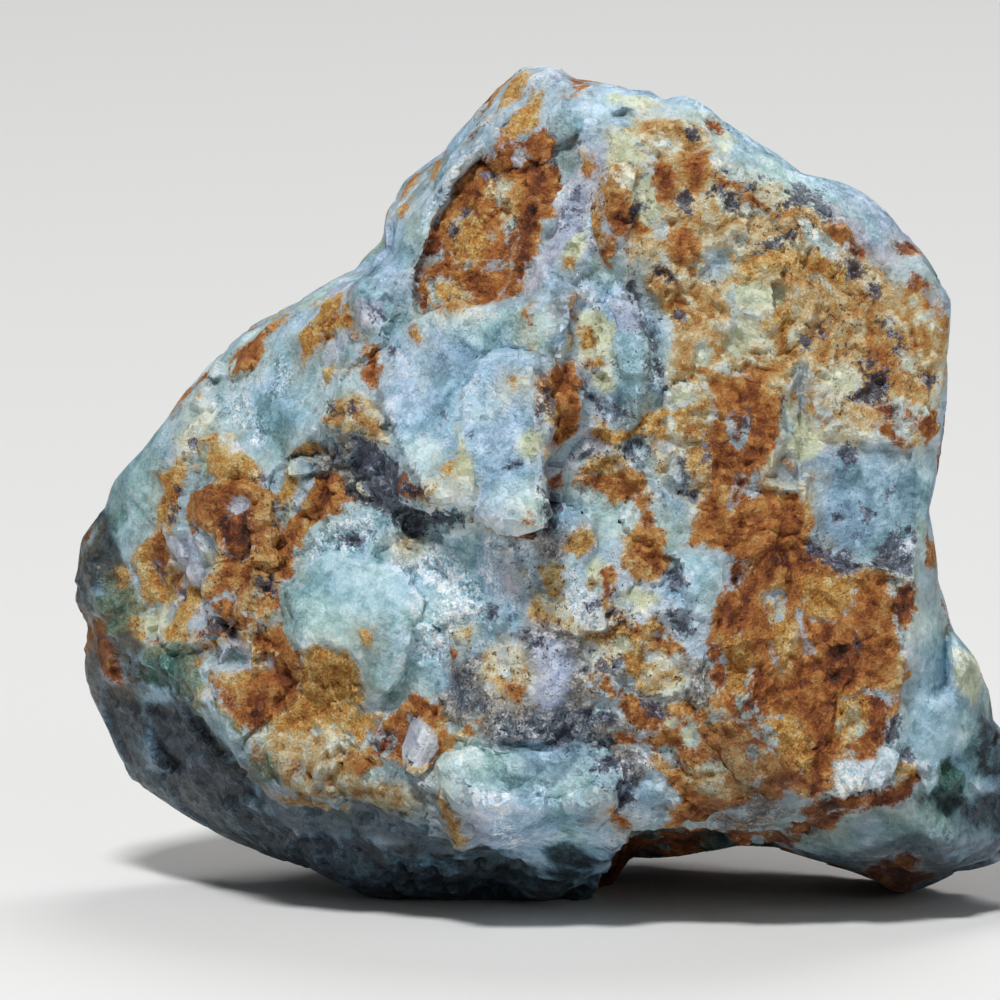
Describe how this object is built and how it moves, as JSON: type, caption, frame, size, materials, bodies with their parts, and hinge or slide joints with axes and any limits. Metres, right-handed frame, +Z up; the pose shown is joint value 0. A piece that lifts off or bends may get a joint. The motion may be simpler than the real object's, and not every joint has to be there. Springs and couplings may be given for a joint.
{
  "type": "rough opal",
  "caption": "Rough, unpolished lump of blue-green common opal with rusty limonite crusts, broken into ledges and hollows, standing on small flat spots.",
  "frame": {"origin": "under the middle of the stone's box, on the surface that it stands on", "axes": "+Z up, -Y out of the best face, +X to the right of it, along the stone's greatest width"},
  "size_m": [0.044, 0.0305, 0.038],
  "materials": {
    "rough_opal": "waxy fresh breaks with rough rusty crusts"
  },
  "bodies": {
    "root": {"opal_stone": "rough_opal"}
  },
  "joints": []
}
